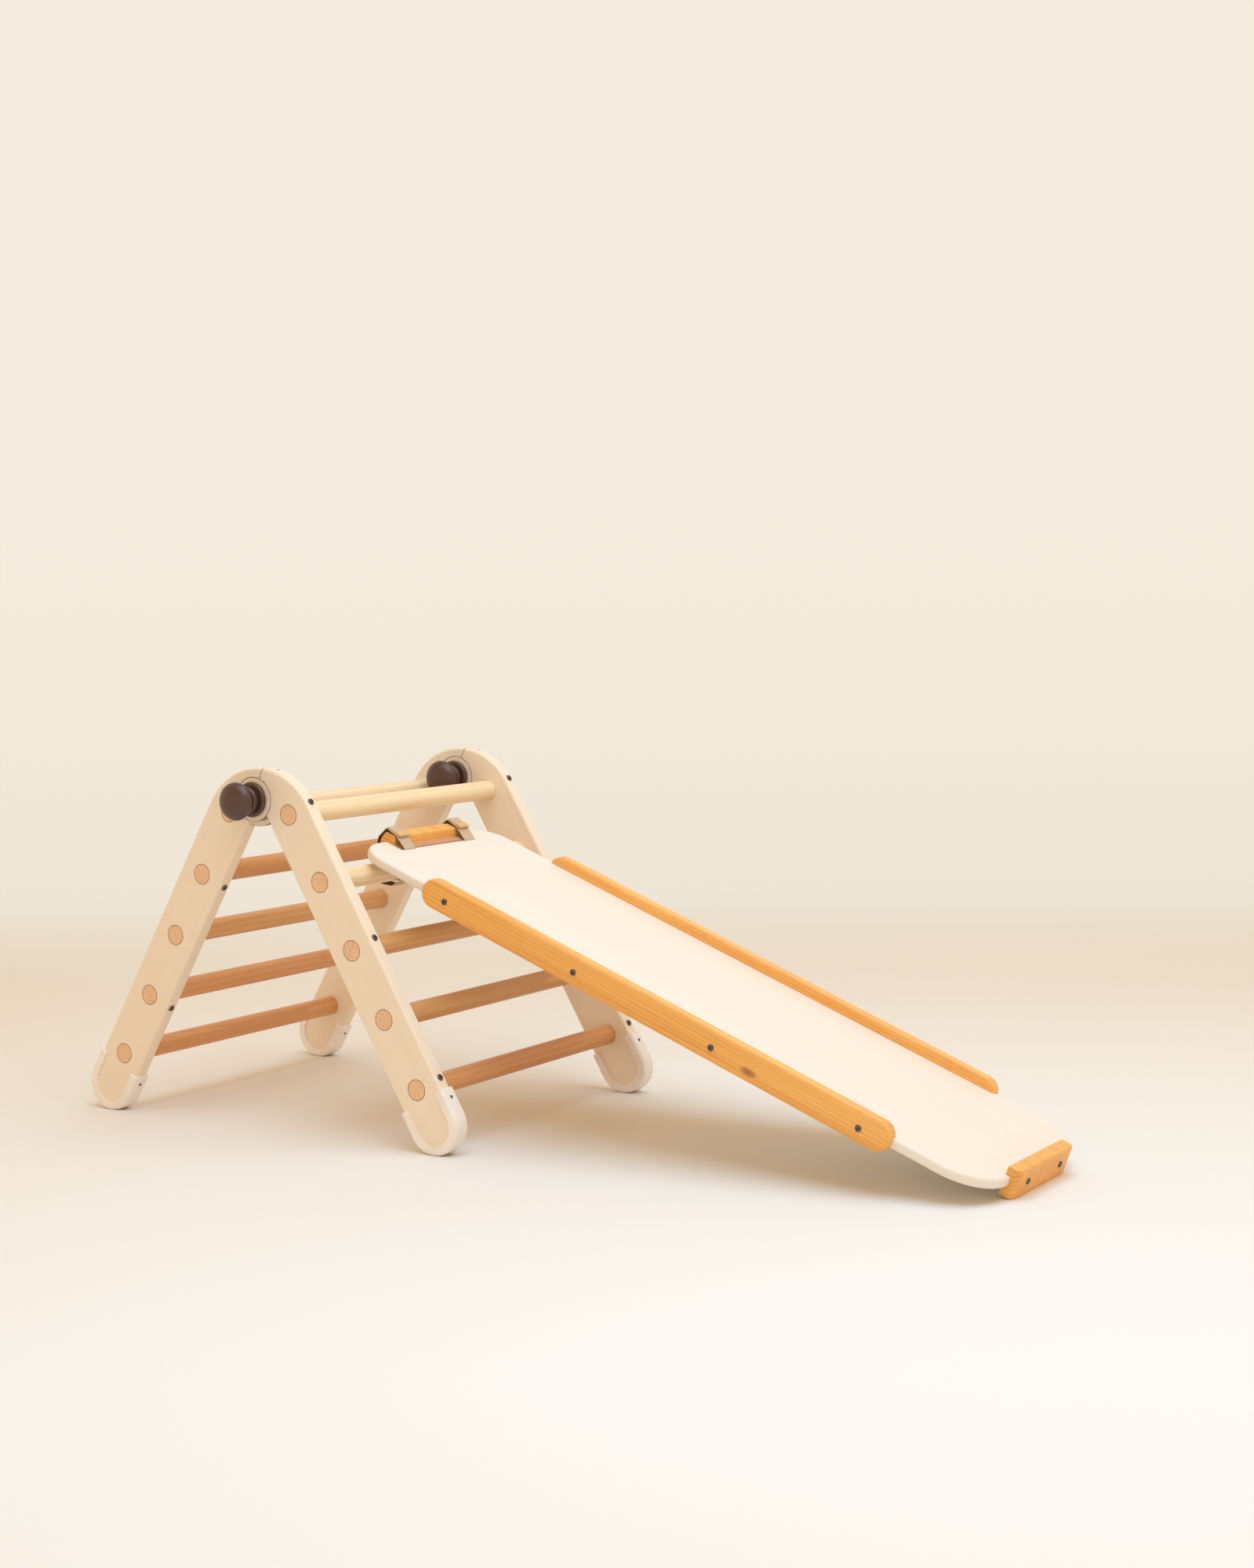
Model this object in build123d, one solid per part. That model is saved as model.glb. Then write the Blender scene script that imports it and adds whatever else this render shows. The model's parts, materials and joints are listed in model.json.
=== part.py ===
from build123d import *
import math
import os

# Toddler slide: a folding A-frame climber of two rung ladders, with a slide board hooked
# over a rung of the right-hand ladder.  Millimetres.  +X runs from the climber to the foot
# of the slide, +Y along the rungs and +Z up, with the floor at Z = 0.  Everything is drawn
# about the climber's middle plane, and moved at the end to the centre of the whole length.

# ---- climber ----
WIDTH = 540.0              # over the outer faces of the stiles
STILE_WIDTH = 80.0
STILE_THICK = 24.0
STILE_ROUND = 4.0          # rounded-over edges of the stiles
LEAN = 30.5                # each ladder leans this far from upright, in degrees
RUNG_COUNT = 5
RUNG_RADIUS = 16.0
RUNG_PITCH = 115.0
RUNG_HOLE_GAP = 0.15
FOOT_BELOW_RUNG = 59.0     # from the lowest rung to the centre of the rounded foot
SOLE_FLAT = 1.0            # the foot caps are worn flat by this much

# ---- hinge ----
PIVOT_ABOVE_RUNG = 21.0    # height of the pivot over the top rungs
PIVOT_OFFSET = -9.0        # the pivot sits to the left of the middle plane
FOLD_GAP = 0.6             # between the two ladders when they are folded flat
HEAD_HEIGHT = 560.0        # top of the rounded head
RIGHT_TONGUE_RADIUS = 34.0
LEFT_TONGUE_RADIUS = 42.0
LAP_GAP = 0.3              # between the lapped tongues, and round them
FRONT_SEAM_ANGLE = 68.0    # where the two heads butt together, seen from the pivot
REAR_SEAM_ANGLE = 50.0
SEAM_GAP_ANGLE = 0.12
ROD_RADIUS = 5.0
ROD_CLEARANCE = 0.05

# ---- ball knobs ----
KNOB_RADIUS = 29.0
KNOB_HALF_DEPTH = 17.0
KNOB_BALL_CENTRE = 40.3
COLLAR_RADIUS = 27.0
COLLAR_THICK = 9.0
BEAD_RADIUS = 21.0
BEAD_THICK = 9.0
BEAD_CENTRE = 17.5         # from the knob's foot
NECK_RADIUS = 17.0
INSERT_RADIUS = 7.5
INSERT_START = 1.0
INSERT_LENGTH = 20.0
BORE_END = 25.0            # depth of the blind bore
KNOB_GAP = 0.3             # between the knob's foot and the stile

# ---- foot caps ----
CAP_WALL = 4.0
CAP_SIDE = 3.0
CAP_LIP = 10.0
CAP_ROUND = 5.0
CAP_ARM = 41.0             # the arms reach this far above the foot centre
CAP_SCREW_UP = 26.0        # from the foot centre up to each small screw

# ---- slide board ----
DECK_TOP_END = -26.0       # along the board, from the axis of the rung it hooks over
DECK_LOW_END = 1096.0
DECK_WIDTH = 340.0
DECK_THICK = 16.0
DECK_ROUND = 5.0
DECK_TOP_CORNER = 52.0
DECK_LOW_CORNER = 75.0
BOARD_ABOVE_RUNG = 7.5     # the hook block and its pad lift the board off the rung
RUNG_CLEARANCE = 0.4       # between the pad and the rung
NOTCH_WIDTH = 188.0
NOTCH_END = 5.0
NOTCH_MOUTH_ROUND = 8.0
SLOT_START = 8.0           # slots that the straps come up through
SLOT_LENGTH = 3.0
RAIL_START = 118.0
RAIL_END = 951.0
RAIL_THICK = 20.0
RAIL_ABOVE = 16.5
RAIL_BELOW = 28.0          # below the board's top face
RAIL_GROOVE = 10.0
RAIL_ROUND = 4.0
RAIL_SCREW_COUNT = 4
RAIL_SCREW_FIRST = 164.0
RAIL_SCREW_PITCH = 246.0
STOP_START = 1088.0
STOP_END = 1109.0
STOP_WIDTH = 184.0
STOP_ABOVE = 14.0
STOP_BELOW = 31.0
STOP_CORNER = 9.0
STOP_ROUND = 3.0
STOP_FLAT = 1.5            # depth trimmed off the toe so that it stands flat
STOP_SCREW_Y = 56.0

# ---- hook and straps ----
HOOK_WIDTH = 185.0
HOOK_BACK = -38.0
HOOK_RIDGE = 12.0          # the ridge of the hook stands this far over the board
RIDGE_FOOT = -10.0         # where the ridge rises from the padded seat
RIDGE_FRONT = -14.0
RIDGE_BACK = -33.0
RIDGE_SHOULDER = 12.0      # height of the slope behind the ridge
LIP_BACK = -32.0           # the lip that reaches down behind the rung
LIP_LOW = -27.0
LIP_CORNER = -20.0
HOOK_ROUND = 2.5
HOOK_SCREW_PITCH = 40.0
PAD_THICK = 2.5
CUSHION_THICK = 1.6        # the pad's top layer, on the seat
CUSHION_LENGTH = 13.0
LINING_DROP = 23.0         # the lining runs down the lip this far below the rung's axis
STRAP_WIDTH = 27.0
STRAP_THICK = 1.6
STRAP_OFF = 1.3            # from the surfaces it wraps to the middle of its thickness
STRAP_PEAK = 5.0           # the strap stands this far over the back of the ridge
STRAP_SLACK = 6.5          # and this far behind the hook
STRAP_BEND = 2.2
STRAP_Y = 78.5
STRAP_TAIL = 60.0          # where the strap ends, under the board

# ---- screws: head radius, head height, shank radius ----
RUNG_SCREW = (5.2, 2.2, 2.0)
CAP_SCREW = (2.6, 0.8, 1.5)
BOARD_SCREW = (4.8, 2.0, 2.0)
RUNG_SCREW_LENGTH = 40.0
CAP_SCREW_LENGTH = 22.0
RAIL_SCREW_LENGTH = 36.0
STOP_SCREW_LENGTH = 45.0
HOOK_SCREW_LENGTH = 72.0

# ---- derived places ----
lean = math.radians(LEAN)
sin_lean = math.sin(lean)
cos_lean = math.cos(lean)
foot_height = STILE_WIDTH / 2 + CAP_WALL - SOLE_FLAT
top_rung_z = foot_height + (FOOT_BELOW_RUNG + (RUNG_COUNT - 1) * RUNG_PITCH) * cos_lean
pivot_z = top_rung_z + PIVOT_ABOVE_RUNG
top_rung_x = (STILE_WIDTH / 2 + FOLD_GAP / 2 + PIVOT_ABOVE_RUNG * sin_lean) / cos_lean
ladder_length = FOOT_BELOW_RUNG + (RUNG_COUNT - 1) * RUNG_PITCH
near_stile_y = -WIDTH / 2 + STILE_THICK / 2
far_stile_y = WIDTH / 2 - STILE_THICK / 2
# One circle rounds both heads and is tangent to both outer edges.
edge_offset = top_rung_x * cos_lean + top_rung_z * sin_lean + STILE_WIDTH / 2
head_centre_z = (HEAD_HEIGHT - edge_offset) / (1 - sin_lean)
head_radius = HEAD_HEIGHT - head_centre_z
hook_rung_x = top_rung_x + RUNG_PITCH * sin_lean
hook_rung_z = top_rung_z - RUNG_PITCH * cos_lean
deck_under = RUNG_RADIUS + BOARD_ABOVE_RUNG
deck_top = deck_under + DECK_THICK
deck_middle = deck_under + DECK_THICK / 2
# The board tilts until the toe of the end stop meets the floor.
stop_low = deck_top - STOP_BELOW
toe_distance = math.hypot(STOP_END, stop_low)
slope = math.asin((hook_rung_z + STOP_FLAT) / toe_distance) + math.atan2(stop_low, STOP_END)
board_normal = Axis((0, 0, 0), (math.sin(slope), 0, math.cos(slope)))
down_board = Axis((0, 0, 0), (math.cos(slope), 0, -math.sin(slope)))
rung_hollow = RUNG_RADIUS + RUNG_CLEARANCE
ridge = deck_top + HOOK_RIDGE
seat_top = deck_top - PAD_THICK + 0.5
strap_front = (RIDGE_FRONT + 1, ridge + 2)
strap_back = (RIDGE_BACK - 2.5, ridge + STRAP_PEAK)

parts = {}


def at_xz(x, z, y=0.0):
    """A place whose sketch plane faces -Y, with sketch x along +X and sketch y along +Z."""
    return Plane(origin=(x, y, z), x_dir=(1, 0, 0), z_dir=(0, -1, 0))


def on_slide(along, height, y=0.0):
    """A place on the board: along it and above the hooked rung's axis, sketch facing -Y."""
    x = hook_rung_x + along * math.cos(slope) + height * math.sin(slope)
    z = hook_rung_z - along * math.sin(slope) + height * math.cos(slope)
    return Plane(origin=(x, y, z), x_dir=(math.cos(slope), 0, -math.sin(slope)), z_dir=(0, -1, 0))


def rung_place(side, number):
    """Centre of a rung, counted from the top.  Side is +1 for the right ladder, -1 for the left."""
    down = (number - 1) * RUNG_PITCH
    return side * (top_rung_x + down * sin_lean), top_rung_z - down * cos_lean


def ladder_frame(side, along, out, y=0.0):
    """A place measured down the ladder from its top rung and outwards from the stile's middle."""
    x = side * (top_rung_x + along * sin_lean + out * cos_lean)
    z = top_rung_z - along * cos_lean + out * sin_lean
    return Vector(x, y, z)


def rod_along_y(x, z, radius, y_start, y_end):
    """A round bar along Y."""
    place = Plane(origin=(x, y_start, z), x_dir=(1, 0, 0), z_dir=(0, 1, 0))
    return extrude(place * Circle(radius), y_end - y_start)


def screw(head_at, direction, size, length):
    """A dome-headed screw: its head stands on a surface and its shank points into the wood."""
    head_radius, head_height, shank_radius = size
    place = Plane(origin=head_at, z_dir=direction)
    shank = extrude(place * Circle(shank_radius), -length)
    head = extrude(place * Circle(head_radius), head_height)
    rim = head.edges().filter_by(GeomType.CIRCLE).sort_by(Axis(head_at, direction))[-1]
    head = fillet(rim, head_height * 0.8)
    socket_place = Plane(origin=Vector(*head_at) + Vector(*direction) * head_height, z_dir=direction)
    socket = extrude(socket_place * RegularPolygon(head_radius * 0.38, 6), -head_height * 0.6)
    return head + shank - socket


# ---- stiles: 24 mm board, rounded over, half-lapped at the hinge ----
def stile_outline(side):
    """Straight stile with a rounded foot; its head follows the circle that rounds the A."""
    half = STILE_WIDTH / 2
    reach = math.sqrt(head_radius ** 2 - (head_radius - STILE_WIDTH) ** 2)
    centre = Vector(0, head_centre_z)
    out = Vector(side * cos_lean, sin_lean)
    up = Vector(-side * sin_lean, cos_lean)
    tangent = centre + out * head_radius
    inner_top = centre + out * (head_radius - STILE_WIDTH) + up * reach
    middle_angle = (lean + math.pi / 2) / 2
    arc_middle = centre + Vector(side * math.cos(middle_angle), math.sin(middle_angle)) * head_radius
    foot = Vector(side * (top_rung_x + ladder_length * sin_lean), foot_height)
    foot_outer = foot + out * half
    foot_inner = foot - out * half
    edges = [
        Line(foot_outer, tangent),
        ThreePointArc(tangent, arc_middle, inner_top),
        Line(inner_top, foot_inner),
        ThreePointArc(foot_inner, foot - up * half, foot_outer),
    ]
    return make_face(Wire(edges))


def seam_wedge(angle, from_side):
    """The part of the plane on one side of a line through the pivot, above the pivot only."""
    reach = 200.0
    a = math.radians(angle)
    turned = a + from_side * math.pi / 2
    points = [
        (0, 0),
        (reach * math.cos(a), reach * math.sin(a)),
        (reach * (math.cos(a) + math.cos(turned)), reach * (math.sin(a) + math.sin(turned))),
        (reach * math.cos(turned), reach * math.sin(turned)),
    ]
    return make_face(Polyline(*points, close=True))


def stile(side, y_middle):
    """One stile.  On the -Y half the right tongue laps over, on the +Y half the left one."""
    half = STILE_THICK / 2
    board = extrude(at_xz(0, 0, y_middle + half) * stile_outline(side), STILE_THICK)
    board = fillet(board.faces().filter_by(Axis.Y).edges(), STILE_ROUND)
    lap = half - LAP_GAP / 2
    front = y_middle - half
    if side > 0:
        own_radius, own_y = RIGHT_TONGUE_RADIUS, (front, front + lap)
        other_radius, other_y = LEFT_TONGUE_RADIUS + LAP_GAP, (front + lap, front + STILE_THICK + 1)
    else:
        own_radius, own_y = LEFT_TONGUE_RADIUS, (front + STILE_THICK - lap, front + STILE_THICK)
        other_radius, other_y = RIGHT_TONGUE_RADIUS + LAP_GAP, (front - 1, front + STILE_THICK - lap)
    for seam_angle, y_low, y_high in (
        (FRONT_SEAM_ANGLE, front - 1, front + half),
        (REAR_SEAM_ANGLE, front + half, front + STILE_THICK + 1),
    ):
        wedge = seam_wedge(seam_angle - side * SEAM_GAP_ANGLE, side)
        board -= extrude(at_xz(PIVOT_OFFSET, pivot_z, y_high) * wedge, y_high - y_low)
    board -= rod_along_y(PIVOT_OFFSET, pivot_z, other_radius, *other_y)
    board += rod_along_y(PIVOT_OFFSET, pivot_z, own_radius, *own_y)
    clearance = ROD_CLEARANCE if side > 0 else 0.0
    board -= rod_along_y(PIVOT_OFFSET, pivot_z, ROD_RADIUS + clearance, front - 1, front + STILE_THICK + 1)
    for number in range(1, RUNG_COUNT + 1):
        x, z = rung_place(side, number)
        board -= rod_along_y(x, z, RUNG_RADIUS + RUNG_HOLE_GAP, front - 1, front + STILE_THICK + 1)
    return board


# ---- rung screws: through the stile's edge into the rung's end, on alternate edges ----
def rung_screws(side):
    screws = []
    for y in (near_stile_y, far_stile_y):
        for number in range(1, RUNG_COUNT + 1):
            edge = 1 if number % 2 else -1
            along = (number - 1) * RUNG_PITCH
            seat = ladder_frame(side, along, edge * STILE_WIDTH / 2, y)
            out = (side * edge * cos_lean, 0, edge * sin_lean)
            screws.append(screw(tuple(seat), out, RUNG_SCREW, RUNG_SCREW_LENGTH))
    return screws


# ---- foot caps: moulded U-shaped shoes over the rounded feet ----
def foot_shape(side, half_width, arm, y_low, y_high):
    """A rounded end of the ladder's outline: straight arms and a half-round foot."""
    foot = Vector(side * (top_rung_x + ladder_length * sin_lean), foot_height)
    out = Vector(side * cos_lean, sin_lean)
    up = Vector(-side * sin_lean, cos_lean)
    edges = [
        Line(foot + out * half_width, foot + out * half_width + up * arm),
        Line(foot + out * half_width + up * arm, foot - out * half_width + up * arm),
        Line(foot - out * half_width + up * arm, foot - out * half_width),
        ThreePointArc(foot - out * half_width, foot - up * half_width, foot + out * half_width),
    ]
    return extrude(at_xz(0, 0, y_high) * make_face(Wire(edges)), y_high - y_low)


def foot_cap(side, y_middle, stile_solid, screws):
    half = STILE_THICK / 2 + CAP_SIDE
    outer = foot_shape(side, STILE_WIDTH / 2 + CAP_WALL, CAP_ARM, y_middle - half, y_middle + half)
    outer = fillet(outer.faces().filter_by(Axis.Y).edges(), CAP_ROUND)
    window_half = STILE_WIDTH / 2 - CAP_LIP
    window = foot_shape(side, window_half, CAP_ARM + 20, y_middle - half - 1, y_middle + half + 1)
    cap = outer - window - stile_solid
    floor_cut = Pos(0, y_middle, -25) * Box(2000, 100, 50)
    cap -= floor_cut
    for one in screws:
        cap -= one
    return cap


def foot_screws(side):
    screws = []
    for y in (near_stile_y, far_stile_y):
        for edge in (1, -1):
            down = ladder_length - CAP_SCREW_UP
            seat = ladder_frame(side, down, edge * (STILE_WIDTH / 2 + CAP_WALL), y)
            out = (side * edge * cos_lean, 0, edge * sin_lean)
            screws.append(screw(tuple(seat), out, CAP_SCREW, CAP_SCREW_LENGTH))
    return screws


def make_ladder(name, side):
    """All the wood, screws and shoes of one ladder."""
    long_screws = rung_screws(side)
    short_screws = foot_screws(side)
    for place, y in (("near", near_stile_y), ("far", far_stile_y)):
        board = stile(side, y)
        long_here = [one for one in long_screws if abs(one.center().Y - y) < STILE_THICK]
        short_here = [one for one in short_screws if abs(one.center().Y - y) < STILE_THICK]
        cap = foot_cap(side, y, board, short_here)
        for one in long_here + short_here:
            board -= one
        parts[f"{name}_stile_{place}"] = board
        parts[f"{name}_foot_cap_{place}"] = cap
    for number in range(1, RUNG_COUNT + 1):
        x, z = rung_place(side, number)
        rung = rod_along_y(x, z, RUNG_RADIUS, -WIDTH / 2, WIDTH / 2)
        for one in long_screws:
            if (one.center() - Vector(x, one.center().Y, z)).length < STILE_WIDTH:
                rung -= one
        parts[f"{name}_rung_{number}"] = rung
    parts[f"{name}_rung_screws"] = Compound(long_screws)
    parts[f"{name}_foot_screws"] = Compound(short_screws)


make_ladder("left", -1)
make_ladder("right", 1)


# ---- hinge rods and ball knobs ----
def knob(y_face, out):
    """A turned ball knob and the threaded sleeve in it.  Out is -1 or +1 along Y."""
    place = Plane(origin=(PIVOT_OFFSET, y_face + out * KNOB_GAP, pivot_z), z_dir=(0, out, 0))
    collar = Pos(0, 0, COLLAR_THICK / 2) * Cylinder(COLLAR_RADIUS, COLLAR_THICK)
    collar = fillet(collar.edges(), COLLAR_THICK * 0.45)
    neck = Pos(0, 0, KNOB_BALL_CENTRE / 2) * Cylinder(NECK_RADIUS, KNOB_BALL_CENTRE)
    bead = Pos(0, 0, BEAD_CENTRE) * fillet(Cylinder(BEAD_RADIUS, BEAD_THICK).edges(), BEAD_THICK * 0.42)
    ball = scale(Sphere(KNOB_RADIUS), by=(1, 1, KNOB_HALF_DEPTH / KNOB_RADIUS))
    body = collar + neck + bead + Pos(0, 0, KNOB_BALL_CENTRE) * ball
    sleeve = Pos(0, 0, INSERT_START + INSERT_LENGTH / 2) * Cylinder(INSERT_RADIUS, INSERT_LENGTH)
    bore = Pos(0, 0, BORE_END / 2) * Cylinder(ROD_RADIUS + ROD_CLEARANCE, BORE_END)
    body -= sleeve + bore
    return place.location * body, place.location * (sleeve - bore)


for place_name, y in (("near", near_stile_y), ("far", far_stile_y)):
    rod_half = STILE_THICK / 2 + KNOB_GAP + INSERT_START + INSERT_LENGTH
    rod = rod_along_y(PIVOT_OFFSET, pivot_z, ROD_RADIUS, y - rod_half, y + rod_half)
    parts[f"pivot_rod_{place_name}"] = rod
    for out in (-1, 1):
        is_outer = (out < 0) == (place_name == "near")
        label = f"{place_name}_{'outer' if is_outer else 'inner'}"
        body, sleeve = knob(y + out * STILE_THICK / 2, out)
        parts[f"knob_{label}"] = body
        parts[f"knob_insert_{label}"] = sleeve


# ---- slide board ----
def deck_blank():
    """The board's outline: wide rounded corners, and the hook's notch in its upper end."""
    length = DECK_LOW_END - DECK_TOP_END
    face = Rectangle(length, DECK_WIDTH)
    upper = face.vertices().sort_by(Axis.X)[:2]
    face = fillet(upper, DECK_TOP_CORNER)
    lower = face.vertices().sort_by(Axis.X)[-2:]
    face = fillet(lower, DECK_LOW_CORNER)
    notch_depth = NOTCH_END - DECK_TOP_END
    notch = Pos(-length / 2 + notch_depth / 2 - 5, 0) * Rectangle(notch_depth + 10, NOTCH_WIDTH)
    face -= notch
    mouth = face.vertices().filter_by_position(Axis.X, -length / 2 - 0.1, -length / 2 + 0.1)
    mouth = mouth.filter_by_position(Axis.Y, -NOTCH_WIDTH / 2 - 0.1, NOTCH_WIDTH / 2 + 0.1)
    return fillet(mouth, NOTCH_MOUTH_ROUND)


def slide_plane(along, height):
    """A plane lying in the board: sketch x along the board, sketch y along +Y."""
    base = on_slide(along, height)
    return Plane(origin=base.origin, x_dir=base.x_dir, z_dir=(math.sin(slope), 0, math.cos(slope)))


def make_deck():
    """The board itself, with its notch and the two slots for the straps."""
    middle = (DECK_LOW_END + DECK_TOP_END) / 2
    deck = extrude(slide_plane(middle, deck_under) * deck_blank(), DECK_THICK)
    deck = fillet(deck.faces().filter_by(board_normal).edges(), DECK_ROUND)
    for y in (-STRAP_Y, STRAP_Y):
        slot = slide_plane(SLOT_START + SLOT_LENGTH / 2, deck_under - 1) * Pos(0, y)
        deck -= extrude(slot * Rectangle(SLOT_LENGTH, STRAP_WIDTH + 2), DECK_THICK + 2)
    return deck


def make_rail(side, deck):
    """A round-ended side rail, grooved over the board's long edge, and its screws."""
    inner = DECK_WIDTH / 2 - RAIL_GROOVE
    y_high = inner + RAIL_THICK if side > 0 else -inner
    middle_height = deck_top + (RAIL_ABOVE - RAIL_BELOW) / 2
    place = on_slide((RAIL_START + RAIL_END) / 2, middle_height, y_high)
    rail = extrude(place * SlotOverall(RAIL_END - RAIL_START, RAIL_ABOVE + RAIL_BELOW), RAIL_THICK)
    rail = fillet(rail.faces().filter_by(Axis.Y).edges(), RAIL_ROUND) - deck
    screws = []
    for number in range(RAIL_SCREW_COUNT):
        along = RAIL_SCREW_FIRST + number * RAIL_SCREW_PITCH
        seat = on_slide(along, deck_middle, side * (inner + RAIL_THICK)).origin
        screws.append(screw(tuple(seat), (0, side, 0), BOARD_SCREW, RAIL_SCREW_LENGTH))
    return rail, screws


def make_stop(deck):
    """The end stop: grooved over the board's lower end, and standing on the floor."""
    middle_height = deck_top + (STOP_ABOVE - STOP_BELOW) / 2
    place = on_slide((STOP_START + STOP_END) / 2, middle_height)
    stop = place.location * Box(STOP_END - STOP_START, STOP_ABOVE + STOP_BELOW, STOP_WIDTH)
    front_corners = stop.edges().filter_by(board_normal).sort_by(down_board)[-2:]
    stop = fillet(front_corners, STOP_CORNER)
    stop = fillet(stop.faces().filter_by(board_normal).edges(), STOP_ROUND) - deck
    stop -= Pos(0, 0, -25) * Box(4000, 1000, 50)
    screws = []
    for y in (-STOP_SCREW_Y, STOP_SCREW_Y):
        seat = on_slide(STOP_END, deck_middle, y).origin
        screws.append(screw(tuple(seat), down_board.direction, BOARD_SCREW, STOP_SCREW_LENGTH))
    return stop, screws


def make_hook():
    """The hook block: it closes the notch, rests on the rung and reaches down behind it."""
    outline = FilletPolyline(
        (NOTCH_END, 4), (NOTCH_END, seat_top), (RIDGE_FOOT, seat_top), (RIDGE_FRONT, ridge),
        (RIDGE_BACK, ridge), (HOOK_BACK, ridge - RIDGE_SHOULDER), (HOOK_BACK, LIP_CORNER),
        (LIP_BACK, LIP_LOW), (-8, LIP_LOW), (-8, 4),
        radius=HOOK_ROUND, close=True,
    )
    place = on_slide(0, 0, HOOK_WIDTH / 2)
    block = extrude(place * make_face(outline), HOOK_WIDTH)
    block -= extrude(place * Circle(rung_hollow + PAD_THICK), HOOK_WIDTH)
    # Below the rung's axis the hollow is open, so that the hook drops over the rung.
    way_down = Pos(50 - rung_hollow - PAD_THICK, -50) * Rectangle(100, 100)
    block -= extrude(place * way_down, HOOK_WIDTH)
    screws = []
    for y in (-HOOK_SCREW_PITCH, 0, HOOK_SCREW_PITCH):
        seat = on_slide(HOOK_BACK, deck_middle + 1, y).origin
        out = -down_board.direction
        screws.append(screw(tuple(seat), out, BOARD_SCREW, HOOK_SCREW_LENGTH))
    return block, screws


def make_pad():
    """The hook's lining round the rung, and the layer on the seat in front of the ridge."""
    ring = Circle(rung_hollow + PAD_THICK) - Circle(rung_hollow)
    ring -= Pos(25 + NOTCH_END - 0.5, 0) * Rectangle(50, 80)
    ring -= Pos(0, -50) * Rectangle(100, 100)
    drop = Pos(-rung_hollow - PAD_THICK / 2, -LINING_DROP / 2) * Rectangle(PAD_THICK, LINING_DROP)
    ring += drop
    lining = extrude(on_slide(0, 0, HOOK_WIDTH / 2) * ring, HOOK_WIDTH)
    place = on_slide(NOTCH_END - CUSHION_LENGTH / 2, seat_top + CUSHION_THICK / 2)
    cushion = place.location * Box(CUSHION_LENGTH, CUSHION_THICK, HOOK_WIDTH - 2)
    return Compound([*lining.solids(), *cushion.solids()])


def make_strap(y):
    """One strap: up through its slot, over the hook, down behind it and back under the rung."""
    slot_middle = SLOT_START + SLOT_LENGTH / 2
    path = FilletPolyline(
        (slot_middle, deck_under - 1), (slot_middle, deck_top + STRAP_OFF), strap_front, strap_back,
        (HOOK_BACK - STRAP_SLACK, ridge - RIDGE_SHOULDER), (HOOK_BACK - STRAP_OFF, LIP_CORNER),
        (LIP_BACK, LIP_LOW - 1.6), (-12, LIP_LOW - 1.6), (6, -24), (29, 6),
        (31, deck_under - 1), (STRAP_TAIL, deck_under - 1),
        radius=STRAP_BEND,
    )
    return extrude(on_slide(0, 0, y + STRAP_WIDTH / 2) * trace(path, STRAP_THICK), STRAP_WIDTH)


def make_patch(y):
    """The hook-and-loop end of the strap, pressed down on its run over the ridge."""
    front, back = Vector(*strap_front), Vector(*strap_back)
    run = back - front
    lift = Vector(run.Y, -run.X).normalized() * STRAP_THICK
    band = trace(Line(front + run * 0.12 + lift, back - run * 0.12 + lift), STRAP_THICK)
    width = STRAP_WIDTH - 3
    return extrude(on_slide(0, 0, y + width / 2) * band, width)


def make_slide():
    deck = make_deck()
    rail_screws = []
    for label, side in (("near", -1), ("far", 1)):
        rail, screws = make_rail(side, deck)
        for one in screws:
            rail -= one
        rail_screws += screws
        parts[f"side_rail_{label}"] = rail
    stop, stop_screws = make_stop(deck)
    for one in stop_screws:
        stop -= one
    block, hook_screws = make_hook()
    for one in hook_screws:
        block -= one
    for one in rail_screws + stop_screws + hook_screws:
        deck -= one
    parts["slide_deck"] = deck
    parts["rail_screws"] = Compound(rail_screws)
    parts["end_stop"] = stop
    parts["end_stop_screws"] = Compound(stop_screws)
    parts["hook_block"] = block
    parts["hook_screws"] = Compound(hook_screws)
    parts["hook_pad"] = make_pad()
    for label, y in (("near", -STRAP_Y), ("far", STRAP_Y)):
        parts[f"strap_{label}"] = make_strap(y)
        parts[f"strap_patch_{label}"] = make_patch(y)


make_slide()

# ---- centre the whole object over the origin and write one file for each piece ----
box = Compound(list(parts.values())).bounding_box()
shift = Vector(-(box.min.X + box.max.X) / 2, 0, 0)
os.makedirs("parts", exist_ok=True)
for name, shape in parts.items():
    moved = Pos(shift) * shape
    export_step(moved, f"parts/{name}.step")

print("box", box.min + shift, box.max + shift)
print("pivot", PIVOT_OFFSET + shift.X, pivot_z)
print("hook rung", hook_rung_x + shift.X, hook_rung_z)
print("slope", math.degrees(slope), "top rung", top_rung_x + shift.X, top_rung_z)
print("head circle", head_centre_z, head_radius, "shift", shift.X)
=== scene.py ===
import json
import math

import bmesh
import bpy
from mathutils import Matrix, Vector, noise


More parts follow.
